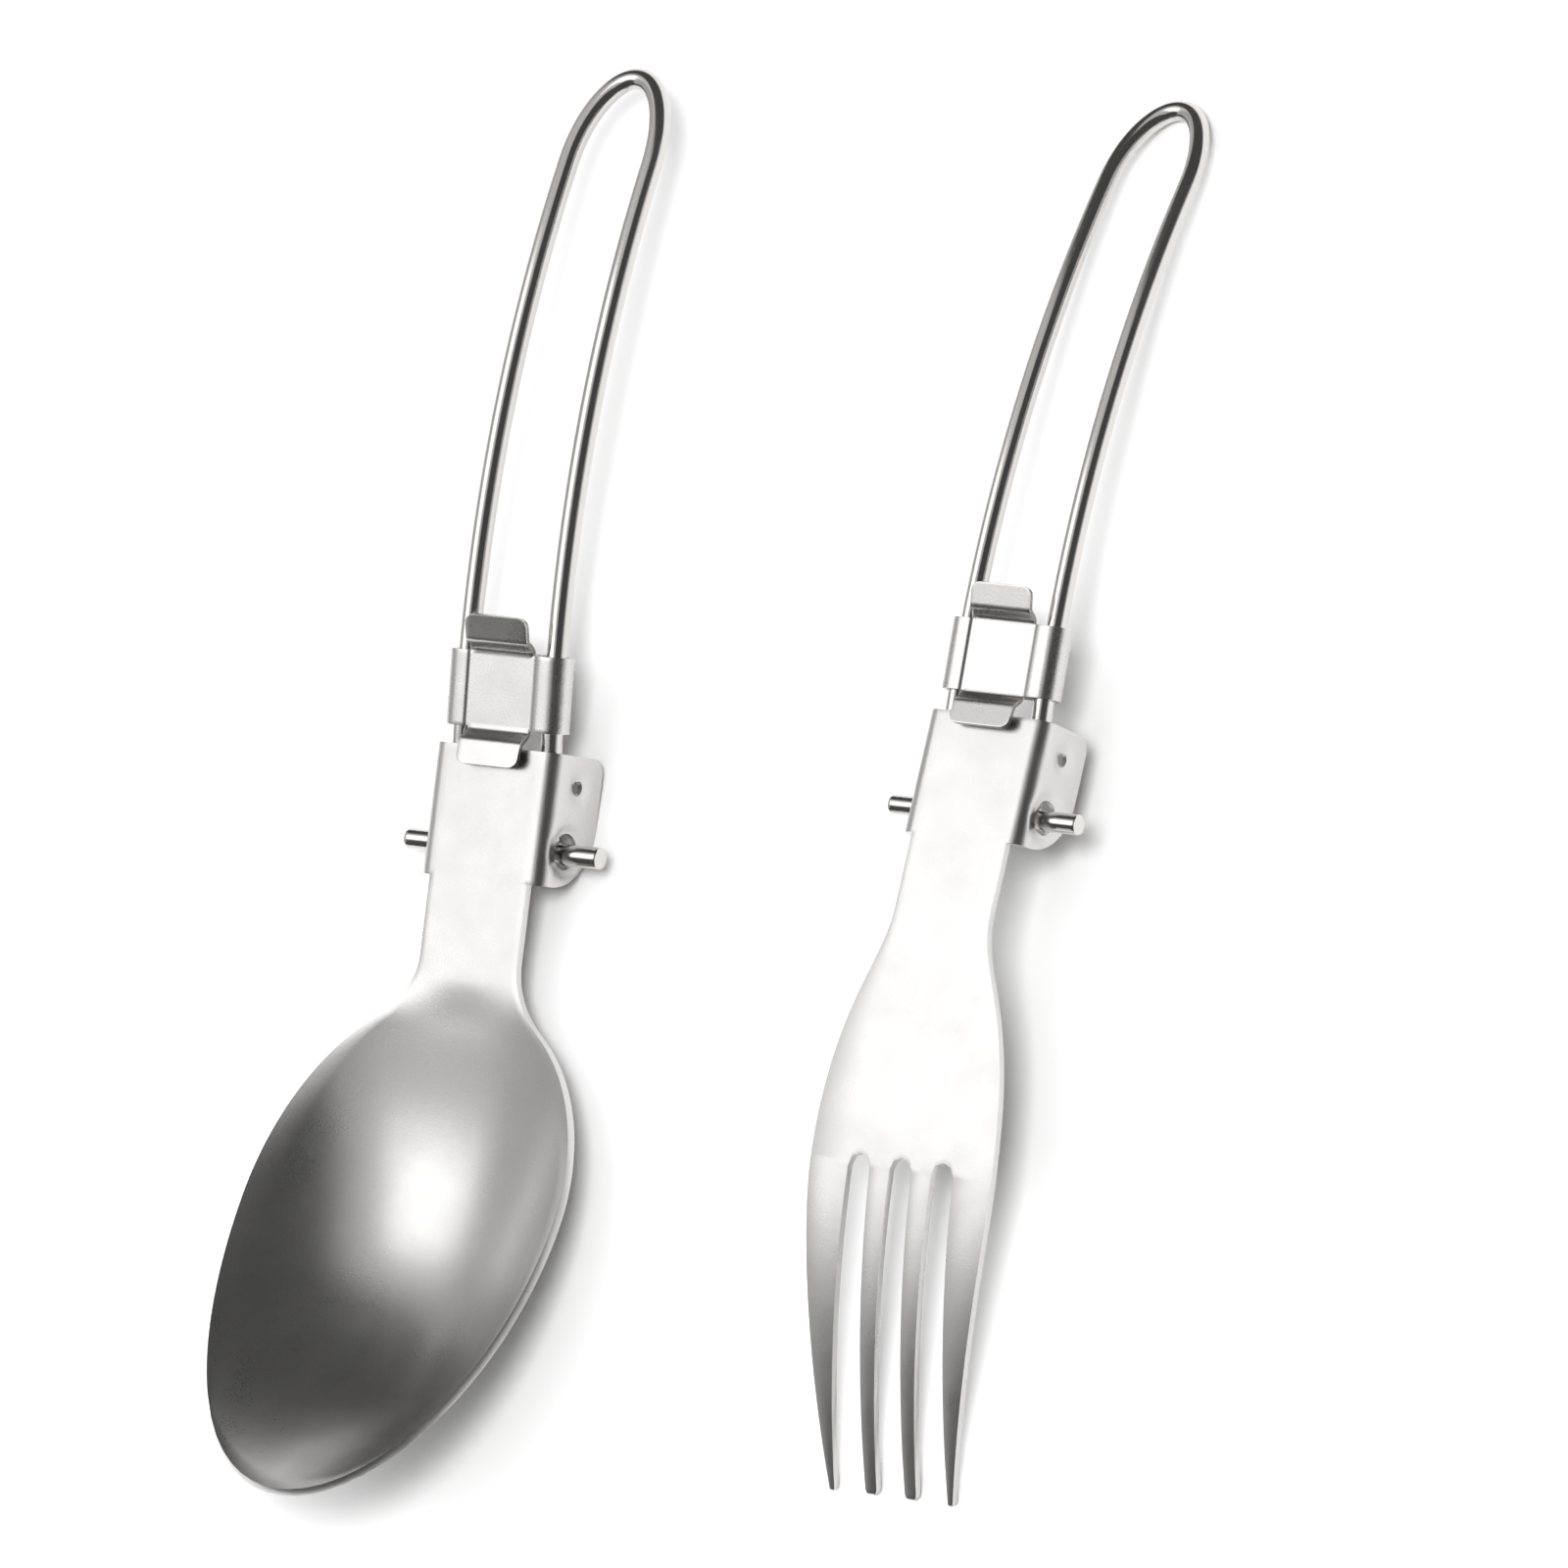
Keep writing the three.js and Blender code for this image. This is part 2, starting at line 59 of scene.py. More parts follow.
SHEET = 0.85
PLATE_WIDTH = 15.8
PLATE_TOP = 10.0
PLATE_FRONT = 3.85
PLATE_BEND = 1.75
EAR_BACK = -4.3
EAR_LOW = -3.45
EAR_TOP_CORNER = 1.8
EAR_LOW_CORNER = 6.5
NECK_HALF = PLATE_WIDTH / 2 - PLATE_BEND

BOWL_HALF = 19.5
BOWL_WIDEST = -37.5
BOWL_TIP = -66.6
BOWL_SHOULDER = 22.4
THROAT_START = -11.5
THROAT_END = -18.5
RIM_BEND = -15.5
RIM_BEND_LENGTH = 3.0
RIM_SLOPE = 0.235
RIM_CURVE = 0.0034
BOWL_DEPTH = 9.4
BOWL_START = -13.5
BOWL_RUN_IN = 1.5
BOWL_SECTION = 2.2

FORK_WAIST = -11.5
FORK_SHOULDER_HALF = 11.8
FORK_SHOULDER_Y = -39.5
FORK_BEND = -14.0
FORK_BEND_LENGTH = 3.0
FORK_SLOPE = 0.105
FORK_ARCH_START = -33.0
FORK_ARCH_RADIUS = 100.0
SLOT_Y = -39.1
SLOT_HALF = 1.42
SLOT_SPACING = 5.42
TINE_TIP = -72.0
OUTER_TINE_TIP_INNER = 7.4
OUTER_TINE_TIP_OUTER = 8.0
INNER_TINE_TIP_INNER = 1.85
INNER_TINE_TIP_OUTER = 3.3

LOCK_GAP = 0.2
LOCK_SHEET = 0.5
LOCK_LENGTH = 7.7
LOCK_SEAM = 0.8
PANEL_HALF = 4.35
PANEL_DEPTH = 0.2
TONGUE_HALF = 3.85
TONGUE_LENGTH = 3.7
TONGUE_RISE = 1.2
TONGUE_RISE_LENGTH = 1.3
TONGUE_FLARE = 0.2
TONGUE_CORNER = 1.0
LOCK_AT = {"spoon": 16.0, "fork": 16.5}

HEAD_EDGE_ROUNDING = 0.16
LOCK_EDGE_ROUNDING = 0.1


# ---------------------------------------------------------------- where each utensil lies


def utensil_matrix(name):
    """From a utensil's frame (mm, pivot at 0, +Y along the handle, +Z front) to the row frame (m)."""
    joint = next(j for j in frame["joints"] if j["name"] == f"{name}_fold")
    arch = next(j for j in frame["joints"] if j["name"] == f"{name}_lock_slide")
    pivot = Vector(joint["pos_m"])
    across = Vector(joint["axis"]).normalized()
    to_arch = Vector(arch["pos_m"]) - pivot
    crest = ARCH_CREST / ARCH_RADIUS
    size = to_arch.length / (ARCH_RADIUS * MM)
    front_side = to_arch.normalized()
    along = (front_side * math.sin(crest) + across.cross(front_side) * math.cos(crest)).normalized()
    front = across.cross(along)
    turn = Matrix((across, along, front)).transposed().to_4x4()
    return Matrix.Translation(pivot) @ turn @ Matrix.Scale(size * MM, 4)


# ---------------------------------------------------------------- mesh helpers


def make_object(name, body, mesh, material):
    mesh.materials.append(material)
    mesh.shade_smooth()
    piece = bpy.data.objects.new(name, mesh)
    bpy.context.scene.collection.objects.link(piece)
    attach(piece, body)
    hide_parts(body)
    return piece


def round_edges(piece, width, segments=3):
    bevel = piece.modifiers.new("round edges", "BEVEL")
    bevel.limit_method = "ANGLE"
    bevel.angle_limit = math.radians(50)
    bevel.width = width * MM
    bevel.segments = segments
    bevel.use_clamp_overlap = True
    bevel.harden_normals = False
    bevel.miter_outer = "MITER_ARC"


class Sheet:
    """A sheet of metal: quads on its front, the same on its back, and a cut face along every free edge."""

    def __init__(self):
        self.front = []
        self.back = []
        self.quads = []

    def point(self, front, back):
        self.front.append(Vector(front))
        self.back.append(Vector(back))
        return len(self.front) - 1

    def grid(self, rows):
        """Quads between rows of point numbers; rows run towards -Y and columns towards +X."""
        for upper, lower in zip(rows, rows[1:]):
            for j in range(len(upper) - 1):
                self.quads.append((upper[j], lower[j], lower[j + 1], upper[j + 1]))

    def mesh(self, name, matrix):
        count = len(self.front)
        corners = [matrix @ p for p in self.front + self.back]
        faces = [tuple(q) for q in self.quads]
        faces += [tuple(count + i for i in reversed(q)) for q in self.quads]
        sides = {}
        for q in self.quads:
            for a, b in zip(q, q[1:] + q[:1]):
                sides[(a, b)] = sides.get((a, b), 0) + 1
        free = [(a, b) for (a, b) in sides if (b, a) not in sides]
        faces += [(b, a, a + count, b + count) for a, b in free]
        mesh = bpy.data.meshes.new(name)
        mesh.from_pydata([tuple(c) for c in corners], [], faces)
        mesh.validate()
        tidy = bmesh.new()
        tidy.from_mesh(mesh)
        bmesh.ops.remove_doubles(tidy, verts=tidy.verts, dist=0.002 * MM)
        bmesh.ops.recalc_face_normals(tidy, faces=tidy.faces)
        loose = [v for v in tidy.verts if not v.link_faces]
        bmesh.ops.delete(tidy, geom=loose, context="VERTS")
        tidy.to_mesh(mesh)
        tidy.free()
        return mesh


def mix(a, b, t):
    return a + (b - a) * t


def spread(start, end, count):
    return [mix(start, end, i / count) for i in range(count + 1)]


def smooth_step(t):
    t = min(max(t, 0.0), 1.0)
    return t * t * (3 - 2 * t)


# ---------------------------------------------------------------- wire handle


def arch_point(x, along):
    crest = ARCH_CREST / ARCH_RADIUS
    angle = along / ARCH_RADIUS - crest
    y = ARCH_RADIUS * (math.sin(angle) + math.sin(crest))
    z = ARCH_RADIUS * (math.cos(angle) - math.cos(crest))
    return Vector((x, y, z))


def handle_route():
    """Middle line of the wire from the end of one pin to the end of the other."""
    half = [(x, 0.0) for x in spread(PIN_REACH, LEG_SPREAD + PIN_BEND, 10)]
    for angle in spread(0, math.pi / 2, 12)[1:]:
        x = LEG_SPREAD + PIN_BEND - PIN_BEND * math.sin(angle)
        half.append((x, PIN_BEND * (1 - math.cos(angle))))
    steps = 80
    for i in range(1, steps + 1):
        t = i / steps
        half.append((mix(LEG_SPREAD, LEG_SPREAD_TOP, t), mix(PIN_BEND, LOOP_START, t)))
    for angle in spread(0, math.pi / 2, 24)[1:]:
        half.append((LEG_SPREAD_TOP * math.cos(angle), LOOP_START + LOOP_LENGTH * math.sin(angle)))
    other = [(-x, y) for x, y in reversed(half[:-1])]
    return [arch_point(x, y) for x, y in half + other]


# Rounding of a pin's end, from its side to its middle: share of the radius, distance out.
PIN_END = ((0.97, 0.05), (0.9, 0.12), (0.78, 0.16), (0.45, 0.17), (0.15, 0.17))
PIN_END_DEPTH = 0.17
WIRE_SIDES = 32


def wire_rings():
    """Rings (middle, two directions across, radius) along the wire, and the number of rings in an end."""
    route = handle_route()
    radius = WIRE / 2
    rings = []
    normal = Vector((0, 0, 1))
    for i, middle in enumerate(route):
        ahead = route[min(i + 1, len(route) - 1)]
        behind = route[max(i - 1, 0)]
        along = (ahead - behind).normalized()
        normal = (normal - along * normal.dot(along)).normalized()
        rings.append((middle, normal.copy(), along.cross(normal), radius))
    outward = ((route[0] - route[1]).normalized(), (route[-1] - route[-2]).normalized())

    def pulled_in(ring, out, share, depth):
        return (ring[0] - out * (PIN_END_DEPTH - depth), ring[1], ring[2], radius * share)

    first, last = rings[0], rings[-1]
    start = [pulled_in(first, outward[0], share, depth) for share, depth in reversed(PIN_END)]
    end = [pulled_in(last, outward[1], share, depth) for share, depth in PIN_END]
    rings[0] = pulled_in(first, outward[0], 1.0, 0.0)
    rings[-1] = pulled_in(last, outward[1], 1.0, 0.0)
    return start + rings + end, len(start), outward


def wire_mesh(name, matrix):
    """A round wire along the handle's route, with sheared ends that are slightly rounded off."""
    rings, end_rings, outward = wire_rings()
    points = []
    for k, (middle, n, s, r) in enumerate(rings):
        in_end = k < end_rings - 1 or k > len(rings) - end_rings
        out = outward[0] if k < end_rings else outward[1]
        for j in range(WIRE_SIDES):
            angle = 2 * math.pi * j / WIRE_SIDES
            place = middle + (n * math.cos(angle) + s * math.sin(angle)) * r
            if in_end:
                rough = noise.noise(place * 1.9) * 0.09 + noise.noise(place * 4.7) * 0.04
                place = place - out * abs(rough)
            points.append(matrix @ place)
    faces = []
    for k in range(len(rings) - 1):
        for j in range(WIRE_SIDES):
            a = k * WIRE_SIDES + j
            b = k * WIRE_SIDES + (j + 1) % WIRE_SIDES
            faces.append((a, b, b + WIRE_SIDES, a + WIRE_SIDES))
    faces.append(tuple(reversed(range(WIRE_SIDES))))
    top = (len(rings) - 1) * WIRE_SIDES
    faces.append(tuple(range(top, top + WIRE_SIDES)))
    mesh = bpy.data.meshes.new(name)
    mesh.from_pydata([tuple(p) for p in points], [], faces)
    tidy = bmesh.new()
    tidy.from_mesh(mesh)
    bmesh.ops.recalc_face_normals(tidy, faces=tidy.faces)
    tidy.to_mesh(mesh)
    tidy.free()
    return mesh


# ---------------------------------------------------------------- hinge plate and ears

# Holes in each ear: middle (y, z), radius, and the dish pressed into the sheet around it.
PIVOT_HOLE = {"y": 0.3, "z": 0.0, "radius": 1.85, "dish": 3.3, "depth": 0.34}
SMALL_HOLE = {"y": 6.8, "z": -0.7, "radius": 0.8, "dish": 1.95, "depth": 0.3}
HOLES = (PIVOT_HOLE, SMALL_HOLE)


def dish_depth(y, z):
    depth = 0.0
    for hole in HOLES:
        away = math.hypot(y - hole["y"], z - hole["z"])
        t = 1 - (away - hole["radius"]) / (hole["dish"] - hole["radius"])
        depth = max(depth, hole["depth"] * smooth_step(t) if away < hole["dish"] else 0.0)
    return depth


def channel_point(s, y, side):
    """Front and back of the sheet, a distance s from the middle plane round the outside of the bend."""
    arc = PLATE_BEND * math.pi / 2
    centre_z = PLATE_FRONT - PLATE_BEND
    if s <= NECK_HALF:
        return (side * s, y, PLATE_FRONT), (side * s, y, PLATE_FRONT - SHEET)
    angle = min((s - NECK_HALF) / PLATE_BEND, math.pi / 2)
    drop = max(s - NECK_HALF - arc, 0.0)
    outer = (NECK_HALF + PLATE_BEND * math.sin(angle), centre_z + PLATE_BEND * math.cos(angle) - drop)
    inner_bend = PLATE_BEND - SHEET
    inner = (NECK_HALF + inner_bend * math.sin(angle), centre_z + inner_bend * math.cos(angle) - drop)
    press = dish_depth(y, outer[1])
    out_x = outer[0] - press * math.sin(angle)
    out_z = outer[1] - press * math.cos(angle)
    return (side * out_x, y, out_z), (side * inner[0], y, inner[1])


EAR_START = NECK_HALF + PLATE_BEND * math.pi / 2
EAR_REACH = EAR_START + (PLATE_FRONT - PLATE_BEND) - EAR_BACK


def s_of_z(z):
    return EAR_START + (PLATE_FRONT - PLATE_BEND) - z


def ear_edges(rows, columns):
    """The four sides of an ear, flat: inner, upper, outer and lower, as lists of (s, y)."""
    upper_corner = (EAR_REACH - EAR_TOP_CORNER, PLATE_TOP - EAR_TOP_CORNER)
    lower_corner = (EAR_REACH - EAR_LOW_CORNER, EAR_LOW + EAR_LOW_CORNER)

    def arc(centre, radius, start, end, steps):
        return [
            (centre[0] + radius * math.cos(a), centre[1] + radius * math.sin(a))
            for a in spread(math.radians(start), math.radians(end), steps)
        ]

    def even(points, count):
        lengths = [0.0]
        for a, b in zip(points, points[1:]):
            lengths.append(lengths[-1] + math.dist(a, b))
        result = []
        for target in spread(0, lengths[-1], count):
            i = next((k for k in range(1, len(lengths)) if lengths[k] >= target - 1e-9), len(lengths) - 1)
            t = (target - lengths[i - 1]) / (lengths[i] - lengths[i - 1])
            result.append((mix(points[i - 1][0], points[i][0], t), mix(points[i - 1][1], points[i][1], t)))
        return result

    inner = [(EAR_START, y) for y in rows]
    upper = even([(EAR_START, PLATE_TOP)] + arc(upper_corner, EAR_TOP_CORNER, 90, 45, 8), columns)
    outer_line = arc(upper_corner, EAR_TOP_CORNER, 45, 0, 8) + arc(lower_corner, EAR_LOW_CORNER, 0, -45, 16)
    outer = even(outer_line, len(rows) - 1)
    lower = even([(EAR_START, EAR_LOW)] + arc(lower_corner, EAR_LOW_CORNER, -90, -45, 16), columns)
    return inner, upper, outer, lower


def ear_grid(rows, columns):
    """Flat (s, y) places of an ear's grid, blended between its four sides."""
    inner, upper, outer, lower = ear_edges(rows, columns)
    last = len(rows) - 1
    grid = []
    for i in range(last + 1):
        v = i / last
        line = []
        for j in range(columns + 1):
            u = j / columns
            place = []
            for k in (0, 1):
                sides = mix(inner[i][k], outer[i][k], u) + mix(upper[j][k], lower[j][k], v)
                corners = mix(mix(upper[0][k], upper[-1][k], u), mix(lower[0][k], lower[-1][k], u), v)
                place.append(sides - corners)
            line.append(tuple(place))
        grid.append(line)
    return grid


def add_ear(sheet, inner_numbers, rows, side):
    """An ear outwards of the points inner_numbers, with its holes set in rings of quads."""
    columns = 16
    flat = ear_grid(rows, columns)
    numbers = [[None] * (columns + 1) for _ in rows]

    def number(s, y):
        return sheet.point(*channel_point(s, y, side))

    removed = set()
    blocks = []
    for hole in HOLES:
        centre = (s_of_z(hole["z"]), hole["y"])
        near = hole["radius"] * 1.45
        inside = [
            (i, j)
            for i in range(1, len(rows) - 1)
            for j in range(1, columns)
            if abs(flat[i][j][0] - centre[0]) < near and abs(flat[i][j][1] - centre[1]) < near
        ]
        i0, i1 = min(i for i, _ in inside), max(i for i, _ in inside)
        j0, j1 = min(j for _, j in inside), max(j for _, j in inside)
        blocks.append((hole, centre, i0, i1, j0, j1))
        removed |= {(i, j) for i in range(i0, i1) for j in range(j0, j1)}
    kept_inside = set()
    for _, _, i0, i1, j0, j1 in blocks:
        kept_inside |= {(i, j) for i in range(i0 + 1, i1) for j in range(j0 + 1, j1)}
    for i in range(len(rows)):
        for j in range(columns + 1):
            if j == 0:
                numbers[i][j] = inner_numbers[i]
            elif (i, j) not in kept_inside:
                numbers[i][j] = number(*flat[i][j])
    quads = []
    for i in range(len(rows) - 1):
        for j in range(columns):
            if (i, j) not in removed:
                quads.append((numbers[i][j], numbers[i + 1][j], numbers[i + 1][j + 1], numbers[i][j + 1]))
    for hole, centre, i0, i1, j0, j1 in blocks:
        loop = [(i0, j) for j in range(j0, j1)] + [(i, j1) for i in range(i0, i1)]
        loop += [(i1, j) for j in range(j1, j0, -1)] + [(i, j0) for i in range(i1, i0, -1)]
        outer_ring = [numbers[i][j] for i, j in loop]
        flat_ring = [flat[i][j] for i, j in loop]
        start = math.atan2(flat_ring[0][1] - centre[1], flat_ring[0][0] - centre[0])
        layers = 5
        rings = [outer_ring]
        for layer in range(1, layers + 1):
            t = layer / layers
            ring = []
            for k, place in enumerate(flat_ring):
                angle = math.atan2(place[1] - centre[1], place[0] - centre[0])
                even_angle = start - 2 * math.pi * k / len(flat_ring)
                turn = (even_angle - angle + math.pi) % (2 * math.pi) - math.pi
                angle += turn * 0.6
                edge_s = centre[0] + hole["radius"] * math.cos(angle)
                edge_y = centre[1] + hole["radius"] * math.sin(angle)
                ring.append(number(mix(place[0], edge_s, t), mix(place[1], edge_y, t)))
            rings.append(ring)
        for outer_line, inner_line in zip(rings, rings[1:]):
            count = len(outer_line)
            for k in range(count):
                n = (k + 1) % count
                quads.append((outer_line[k], inner_line[k], inner_line[n], outer_line[n]))
    if side < 0:
        quads = [tuple(reversed(q)) for q in quads]
    sheet.quads += quads


def plate_rows():
    return spread(PLATE_TOP, EAR_LOW, 26)


def add_plate(sheet):
    """Plate, bends and ears. Returns the point numbers of the plate's lower row, between the bends."""
    rows = plate_rows()
    flat_columns = 16
    bend_columns = 8
    middle = spread(-NECK_HALF, NECK_HALF, flat_columns)
    bend = spread(NECK_HALF, EAR_START, bend_columns)[1:]
    grid = []
    for y in rows:
        left = [sheet.point(*channel_point(s, y, -1)) for s in reversed(bend)]
        centre = [sheet.point(*channel_point(abs(x), y, -1 if x < 0 else 1)) for x in middle]
        right = [sheet.point(*channel_point(s, y, 1)) for s in bend]
        grid.append(left + centre + right)
    sheet.grid(grid)
    add_ear(sheet, [line[-1] for line in grid], rows, 1)
    add_ear(sheet, [line[0] for line in grid], rows, -1)
    return grid[-1][bend_columns : bend_columns + flat_columns + 1]


# ---------------------------------------------------------------- heads


def run_past(bend_line, y, bend_length):
    beyond = bend_line - y
    if abs(beyond) >= bend_length:
        return max(beyond, 0.0)
    return (beyond + bend_length) ** 2 / (4 * bend_length)


def rim_rise(y):
    run = run_past(RIM_BEND, y, RIM_BEND_LENGTH)
    return RIM_SLOPE * run + RIM_CURVE * run * run


def bowl_depth(y):
    s = min(max((BOWL_START - y) / (BOWL_START - BOWL_TIP), 0.0), 1.0)
    deepest = BOWL_RUN_IN / (BOWL_RUN_IN + 1)
    return BOWL_DEPTH * s**BOWL_RUN_IN * (1 - s) / (deepest**BOWL_RUN_IN * (1 - deepest))


def spoon_half_width(y):
    """Half width of neck and bowl at y, with a fillet where the neck leaves the ears."""
    from_widest = THROAT_END - BOWL_WIDEST
    throat_half = BOWL_HALF * math.sqrt(1 - (from_widest / BOWL_SHOULDER) ** 2)
    slope = (BOWL_HALF / BOWL_SHOULDER) ** 2 * from_widest / throat_half
    corner = THROAT_END + (throat_half - NECK_HALF) / slope
    if y >= THROAT_START:
        return NECK_HALF
    if y >= THROAT_END:
        a = THROAT_START - 2 * corner + THROAT_END
        b = 2 * (corner - THROAT_START)
        c = THROAT_START - y
        t = (-b - math.sqrt(b * b - 4 * a * c)) / (2 * a) if abs(a) > 1e-9 else -c / b
        t = min(max(t, 0.0), 1.0)
        return NECK_HALF * (1 - t) ** 2 + 2 * NECK_HALF * t * (1 - t) + throat_half * t * t
    length = BOWL_SHOULDER if y > BOWL_WIDEST else BOWL_WIDEST - BOWL_TIP
    return BOWL_HALF * math.sqrt(max(1 - ((y - BOWL_WIDEST) / length) ** 2, 0.0))


def spoon_height(x, y):
    half = max(spoon_half_width(y), 1e-3)
    inward = max(1 - min(abs(x / half), 1.0) ** BOWL_SECTION, 0.0)
    return PLATE_FRONT + rim_rise(y) - bowl_depth(y) * inward


def fork_height(x, y):
    lean = FORK_SLOPE * run_past(FORK_BEND, y, FORK_BEND_LENGTH)
    into_arch = max(FORK_ARCH_START - y, 0.0)
    return PLATE_FRONT - lean - (FORK_ARCH_RADIUS - math.sqrt(FORK_ARCH_RADIUS**2 - into_arch**2))


def sheet_point(sheet, x, y, height):
    """A point on a surface given by its height, with the sheet's back straight behind it."""
    step = 0.05
    front = Vector((x, y, height(x, y)))
    across = Vector((2 * step, 0, height(x + step, y) - height(x - step, y)))
    along = Vector((0, 2 * step, height(x, y + step) - height(x, y - step)))
    normal = across.cross(along).normalized()
    return sheet.point(front, front - normal * SHEET)


# Keeps the bowl's outermost points just inside the line where its depth ends.
INSIDE_EDGE = 0.9999


def spoon_sheet():
    sheet = Sheet()
    upper = add_plate(sheet)
    columns = len(upper) - 1
    shares = spread(-1, 1, columns)
    grid = [upper]
    for y in spread(EAR_LOW, BOWL_WIDEST, 44)[1:]:
        half = spoon_half_width(y)
        grid.append([sheet_point(sheet, u * half * INSIDE_EDGE, y, spoon_height) for u in shares])
    depth_rows = 24
    length = BOWL_WIDEST - BOWL_TIP
    for i in range(1, depth_rows + 1):
        v = i / depth_rows
        line = []
        for u in shares:
            x = BOWL_HALF * u * math.sqrt(1 - v * v / 2)
            y = BOWL_WIDEST - length * v * math.sqrt(1 - u * u / 2)
            line.append(sheet_point(sheet, x * INSIDE_EDGE, y, spoon_height))
        grid.append(line)
    sheet.grid(grid)
    return sheet


def fork_outline(count=160):
    """Points (half width, y) down the outer edge of the fork from the neck to the outer tine's tip."""
    neck = [(NECK_HALF, y) for y in spread(EAR_LOW, FORK_WAIST, 20)]
    points = list(neck)
    a = (NECK_HALF, FORK_WAIST)
    b = (NECK_HALF, FORK_WAIST - 6.5)
    c = (FORK_SHOULDER_HALF, FORK_WAIST - 9.8)
    d = (FORK_SHOULDER_HALF, FORK_SHOULDER_Y)
    for t in spread(0, 1, count)[1:]:
        k = ((1 - t) ** 3, 3 * t * (1 - t) ** 2, 3 * t * t * (1 - t), t**3)
        points.append(tuple(sum(w * p[i] for w, p in zip(k, (a, b, c, d))) for i in (0, 1)))
    e = (FORK_SHOULDER_HALF, FORK_SHOULDER_Y - 7)
    f = (OUTER_TINE_TIP_OUTER, TINE_TIP)
    for t in spread(0, 1, count)[1:]:
        k = ((1 - t) ** 2, 2 * t * (1 - t), t * t)
        points.append(tuple(sum(w * p[i] for w, p in zip(k, (d, e, f))) for i in (0, 1)))
    return points


FORK_EDGE = fork_outline()


def fork_half_width(y):
    for (x0, y0), (x1, y1) in zip(FORK_EDGE, FORK_EDGE[1:]):
        if y1 <= y <= y0 and y0 > y1:
            return mix(x0, x1, (y0 - y) / (y0 - y1))
    return FORK_EDGE[-1][0] if y < FORK_EDGE[-1][1] else FORK_EDGE[0][0]


def tine_edge(start, end):
    return lambda y: mix(start, end, (SLOT_Y - y) / (SLOT_Y - TINE_TIP))


def fork_sheet():
    """Neck, shoulders and four tines, in one grid that opens at the slots."""
    sheet = Sheet()
    upper = add_plate(sheet)
    slot_columns = 4
    left_to_right = [-SLOT_SPACING, 0.0, SLOT_SPACING]
    total = len(upper) - 1
    tine_columns = (total - 3 * slot_columns) // 4

    def slot_line():
        """x places of all columns where the slots begin, and the slot's share for each column."""
        edge = fork_half_width(SLOT_Y)
        places, bulge = [], []
        bounds = [-edge]
        for c in left_to_right:
            bounds += [c - SLOT_HALF, c + SLOT_HALF]
        bounds.append(edge)
        for k in range(4):
            stretch = spread(bounds[2 * k], bounds[2 * k + 1], tine_columns)
            places += stretch if k == 0 else stretch[1:]
            bulge += [0.0] * (len(stretch) if k == 0 else len(stretch) - 1)
            if k < 3:
                for a in spread(math.pi, 0, slot_columns)[1:]:
                    places.append(left_to_right[k] + SLOT_HALF * math.cos(a))
                    bulge.append(SLOT_HALF * math.sin(a))
        return places, bulge

    places, bulge = slot_line()
    edge = fork_half_width(SLOT_Y)
    even = spread(-1, 1, total)
    body_rows = spread(EAR_LOW, SLOT_Y, 52)[1:]
    grid = [upper]
    for y in body_rows:
        half = fork_half_width(y)
        towards = smooth_step((EAR_LOW - 6 - y) / (EAR_LOW - 6 - SLOT_Y - 8))
        near = smooth_step(1 - (y - SLOT_Y) / 7)
        line = []
        for j in range(total + 1):
            x = half * mix(even[j], places[j] / edge, towards)
            line.append(sheet_point(sheet, x, y + bulge[j] * near, fork_height))
        grid.append(line)
    sheet.grid(grid)
    first = 0
    outer = (tine_edge(SLOT_SPACING + SLOT_HALF, OUTER_TINE_TIP_INNER), fork_half_width)
    inner_low = tine_edge(SLOT_HALF, INNER_TINE_TIP_INNER)
    inner = (inner_low, tine_edge(SLOT_SPACING - SLOT_HALF, INNER_TINE_TIP_OUTER))
    for k in range(4):
        low, high = outer if k in (0, 3) else inner
        sign = -1 if k < 2 else 1
        near_edge = (lambda y, f=high: -f(y)) if sign < 0 else low
        far_edge = (lambda y, f=low: -f(y)) if sign < 0 else high
        start = [grid[-1][first + j] for j in range(tine_columns + 1)]
        add_tine(sheet, start, near_edge, far_edge)
        first += tine_columns + slot_columns
    return sheet


def add_tine(sheet, start, left, right):
    """A tine below the points start, between two edges, with a rounded tip."""
    columns = len(start) - 1
    radius = (right(TINE_TIP) - left(TINE_TIP)) / 2
    tip_start = TINE_TIP + radius
    lines = [start]
    for y in spread(SLOT_Y, tip_start, 48)[1:]:
        places = spread(left(y), right(y), columns)
        lines.append([sheet_point(sheet, x, y, fork_height) for x in places])
    middle = (left(tip_start) + right(tip_start)) / 2
    reach = (right(tip_start) - left(tip_start)) / 2
    for v in spread(0, 1, 3)[1:]:
        line = []
        for j in range(columns + 1):
            u = -1 + 2 * j / columns
            x = middle + reach * u * math.sqrt(1 - v * v / 2)
            y = tip_start - radius * v * math.sqrt(1 - u * u / 2)
            line.append(sheet_point(sheet, x, y, fork_height))
        lines.append(line)
    sheet.grid(lines)


# ---------------------------------------------------------------- lock sleeve


